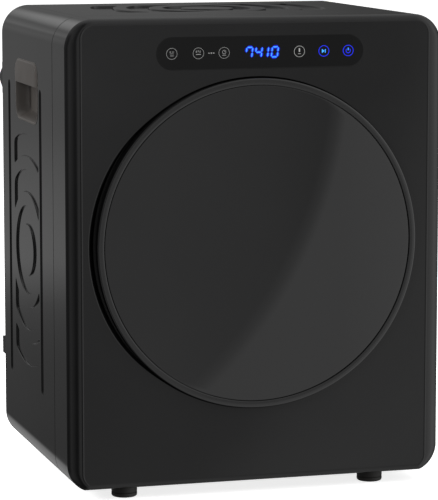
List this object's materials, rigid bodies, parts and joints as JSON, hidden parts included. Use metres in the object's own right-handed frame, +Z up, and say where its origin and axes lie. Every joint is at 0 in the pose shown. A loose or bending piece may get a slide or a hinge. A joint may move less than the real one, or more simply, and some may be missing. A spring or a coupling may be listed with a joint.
{
  "type": "clothes dryer",
  "caption": "Compact vented tumble dryer with a large round smoked door, a touch panel with a lit clock display, stamped sides, grip pockets and a belt-driven drum.",
  "frame": {"origin": "on the floor, at the middle of the machine's bounding box", "axes": "+X to the machine's right seen from the front, +Y from the front to the back, +Z up"},
  "size_m": [0.497, 0.42, 0.6115],
  "materials": {
    "front_gloss": "moulded gloss black",
    "casing_gloss": "gloss black enamel on pressed steel",
    "door_gloss": "gloss black",
    "door_glass": "smoked, polished",
    "overlay_glass": "smoked, polished",
    "key_light": "printed and lit from behind",
    "clear_bowl": "clear",
    "grip_taupe": "fine satin grain",
    "foot_rubber": "matte",
    "soft_rubber": "matte",
    "matte_black": "fine grain",
    "rear_black": "satin black powder coat",
    "black_screw": "black oxide",
    "inner_plastic": "moulded, satin",
    "white_plastic": "moulded, satin",
    "lint_plastic": "fine mesh",
    "stainless": "brushed",
    "zinc": "zinc-plated sheet",
    "steel": "ground",
    "bronze": "sintered",
    "aluminium_cast": "cast",
    "lamination": "varnished laminations",
    "heater_fins": "bare fins",
    "felt": "pressed wool felt",
    "belt_rubber": "ribbed",
    "circuit": "solder mask"
  },
  "bodies": {
    "cabinet": {"base_tray": "zinc", "blower_housing": "inner_plastic", "casing": "casing_gloss", "catch_housing": "inner_plastic", "control_board": "circuit", "control_overlay": "overlay_glass", "cord_gland": "soft_rubber", "door_switch": "white_plastic", "drum_belt": "belt_rubber", "drum_bush": "bronze", "drum_felt": "felt", "duct_spigot": "matte_black", "exhaust_duct": "inner_plastic", "foot_front_left": "foot_rubber", "foot_front_right": "foot_rubber", "foot_rear_left": "foot_rubber", "foot_rear_right": "foot_rubber", "foot_screws": "steel", "front_bulkhead": "zinc", "front_panel": "front_gloss", "grip_left": "grip_taupe", "grip_right": "grip_taupe", "heater_element": "heater_fins", "heater_housing": "zinc", "hinge_bracket": "zinc", "hinge_pin": "steel", "idler_post": "zinc", "intake_grille": "matte_black", "key_marks": "key_light", "lint_duct": "inner_plastic", "lint_filter": "lint_plastic", "motor_bushes": "bronze", "motor_cradle": "zinc", "motor_housing": "steel", "motor_stator": "lamination", "mouth_gasket": "soft_rubber", "power_board": "circuit", "rear_bulkhead": "zinc", "rear_felt": "felt", "rear_panel": "rear_black", "rear_screws": "black_screw", "rear_spacers": "soft_rubber", "wall_lugs": "rear_black"},
    "door": {"door_ring": "door_gloss", "door_disc": "door_glass", "door_inner_ring": "inner_plastic", "door_bowl": "clear_bowl", "hinge_leaf": "zinc", "door_strike": "zinc"},
    "drum": {"drum_shell": "stainless", "drum_lifters": "inner_plastic", "drum_spider": "zinc"},
    "drive_shaft": {"motor_rotor": "steel", "motor_pulley": "aluminium_cast", "blower_wheel": "white_plastic"},
    "idler_lever": {"idler_arm": "zinc"},
    "idler_wheel": {"idler_pulley": "white_plastic"},
    "plunger": {"switch_plunger": "white_plastic"},
    "jaw_upper": {"catch_jaw_upper": "white_plastic"},
    "jaw_lower": {"catch_jaw_lower": "white_plastic"}
  },
  "joints": [
    {"name": "door_swing", "type": "hinge", "parent": "cabinet", "child": "door", "pos_m": [0.2052, -0.2049, 0.3245], "axis": [0, 0, 1], "range_deg": [0, 100]},
    {"name": "drum_spin", "type": "hinge", "parent": "cabinet", "child": "drum", "pos_m": [0, 0.02, 0.3245], "axis": [0, 1, 0], "continuous": true},
    {"name": "motor_spin", "type": "hinge", "parent": "cabinet", "child": "drive_shaft", "pos_m": [0.176, 0, 0.092], "axis": [0, 1, 0], "continuous": true},
    {"name": "idler_tension", "type": "hinge", "parent": "cabinet", "child": "idler_lever", "pos_m": [0.192, 0.085, 0.044], "axis": [0, -1, 0], "range_deg": [0, 8], "stiffness_Nm_per_rad": 0.8, "springref_deg": -17.19},
    {"name": "idler_spin", "type": "hinge", "parent": "idler_lever", "child": "idler_wheel", "pos_m": [0.13831, 0.076, 0.07172], "axis": [0, 1, 0], "continuous": true},
    {"name": "switch_travel", "type": "slide", "parent": "cabinet", "child": "plunger", "axis": [0, -1, 0], "range_m": [0, 0.003]},
    {"name": "jaw_upper_grip", "type": "hinge", "parent": "cabinet", "child": "jaw_upper", "pos_m": [-0.18, -0.152, 0.3345], "axis": [-1, 0, 0], "range_deg": [0, 12], "stiffness_Nm_per_rad": 0.05, "springref_deg": -5.73},
    {"name": "jaw_lower_grip", "type": "hinge", "parent": "cabinet", "child": "jaw_lower", "pos_m": [-0.18, -0.152, 0.3145], "axis": [1, 0, 0], "range_deg": [0, 12], "stiffness_Nm_per_rad": 0.05, "springref_deg": -5.73}
  ],
  "couplings": [
    {"joint": "motor_spin", "follows": "drum_spin", "ratio": 27.25},
    {"joint": "idler_spin", "follows": "drum_spin", "ratio": -15.571},
    {"joint": "switch_travel", "follows": "door_swing", "m_per_rad": 0.0017131}
  ]
}
